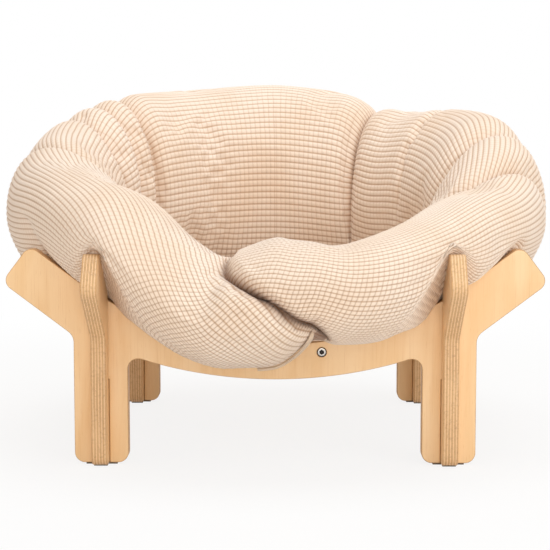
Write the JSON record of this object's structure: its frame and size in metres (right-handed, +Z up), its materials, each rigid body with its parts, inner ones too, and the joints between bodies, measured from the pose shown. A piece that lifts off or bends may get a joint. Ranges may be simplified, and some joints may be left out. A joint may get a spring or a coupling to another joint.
{
  "type": "elevated cat bed",
  "caption": "Raised cat bed: slotted plywood panels form a cradle on legs that holds a round, low-fronted corduroy bolster cushion with a seat pad.",
  "frame": {"origin": "on the floor under the middle of the bed", "axes": "+Z up, -Y towards the low front of the cushion, +X to the right as seen from the front"},
  "size_m": [0.5615, 0.5681, 0.3762],
  "materials": {
    "birch_plywood": "clear satin lacquer",
    "bright_steel": "bright",
    "zinc_plate": "zinc plated",
    "grey_felt": "felt",
    "cream_corduroy": "soft wide-rib corduroy",
    "cream_binding": "plain woven tape"
  },
  "bodies": {
    "frame": {"front_panel": "birch_plywood", "rear_panel": "birch_plywood", "left_panel": "birch_plywood", "right_panel": "birch_plywood", "seat_board": "birch_plywood", "bolt_front_left": "bright_steel", "bolt_front_right": "bright_steel", "bolt_rear_left": "bright_steel", "bolt_rear_right": "bright_steel", "barrel_nut_front_left": "zinc_plate", "barrel_nut_front_right": "zinc_plate", "barrel_nut_rear_left": "zinc_plate", "barrel_nut_rear_right": "zinc_plate", "foot_pad_front_left": "grey_felt", "foot_pad_front_right": "grey_felt", "foot_pad_rear_left": "grey_felt", "foot_pad_rear_right": "grey_felt"},
    "cushion": {"bolster_ring": "cream_corduroy", "seat_pad": "cream_corduroy", "end_binding": "cream_binding"}
  },
  "joints": [
    {"name": "cushion_lift", "type": "slide", "parent": "frame", "child": "cushion", "axis": [0, 0, 1], "range_m": [0, 0.16]}
  ]
}
